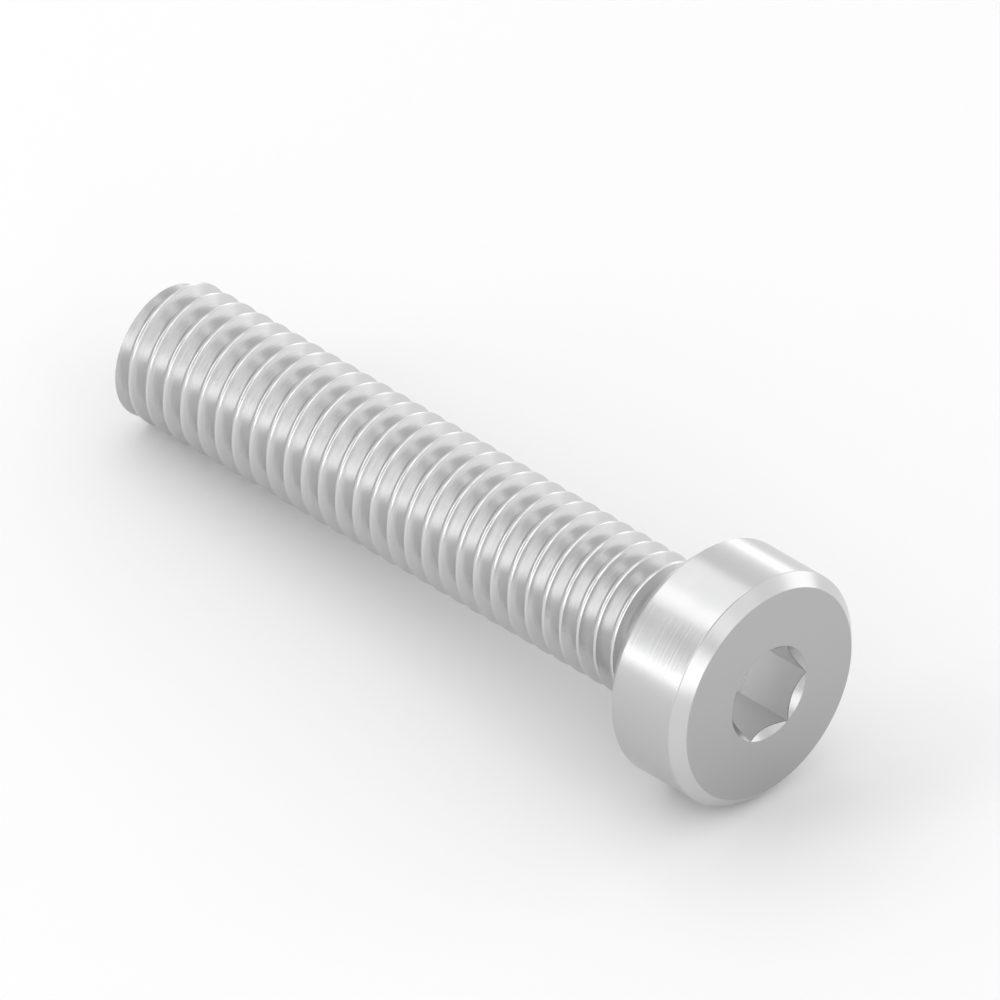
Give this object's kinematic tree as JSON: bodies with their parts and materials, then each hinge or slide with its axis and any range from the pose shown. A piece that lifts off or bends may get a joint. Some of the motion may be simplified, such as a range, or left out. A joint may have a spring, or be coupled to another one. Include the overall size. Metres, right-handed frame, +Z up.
{
  "type": "low head socket cap screw",
  "caption": "Steel cap screw with a low round bevelled head, a hexagon socket and a metric thread over its whole shank, lying on its side.",
  "frame": {"origin": "bottom centre of the bounding box, on the surface that the screw lies on", "axes": "+X is level and points from the thread's end towards the head, +Y is level across the screw, +Z is up; the screw's own axis lies in the XZ plane and rises 4.03 degrees towards the head, because the screw rests on the rim of its head and on the last full crest of its thread"},
  "size_m": [0.0288, 0.0084, 0.0087],
  "materials": {
    "bright_steel": "bare bright steel: turned head, rolled thread, smooth satin gloss"
  },
  "bodies": {
    "root": {"cap_screw": "bright_steel"}
  },
  "joints": []
}
